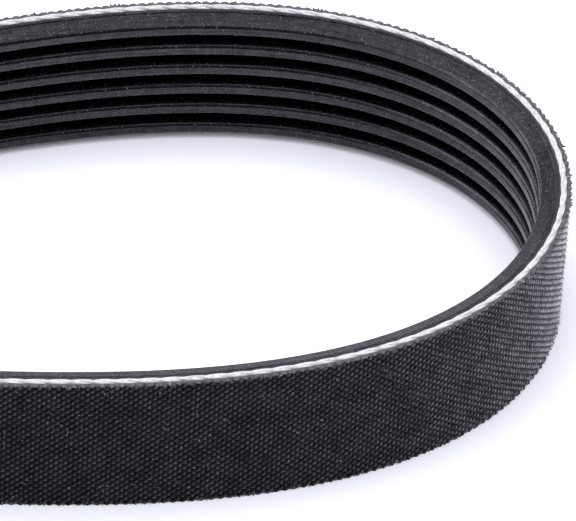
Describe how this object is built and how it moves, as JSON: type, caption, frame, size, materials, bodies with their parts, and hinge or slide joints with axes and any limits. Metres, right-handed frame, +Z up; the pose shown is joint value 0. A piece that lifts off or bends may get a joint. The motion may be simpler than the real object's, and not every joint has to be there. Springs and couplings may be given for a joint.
{
  "type": "serpentine belt",
  "caption": "Endless flat belt with lengthwise V ribs on its inner face and a woven fabric back, which drives engine accessories from pulley to pulley.",
  "frame": {"origin": "centre of the loop, on the surface that the belt stands on", "axes": "+X along the loop's long way, +Y across it, +Z up across the belt's width"},
  "size_m": [0.311, 0.0782, 0.0214],
  "materials": {
    "backing_fabric": "bias-woven rubberised fabric, matt",
    "tension_cord": "twisted white polyester cord, cut at the edge",
    "adhesion_rubber": "cut rubber, matt and finely speckled",
    "ribbed_rubber": "ground rubber with short fibres, satin at the rib tips"
  },
  "bodies": {
    "root": {"backing_fabric": "backing_fabric", "tension_cord": "tension_cord", "adhesion_rubber": "adhesion_rubber", "ribbed_rubber": "ribbed_rubber"}
  },
  "joints": []
}
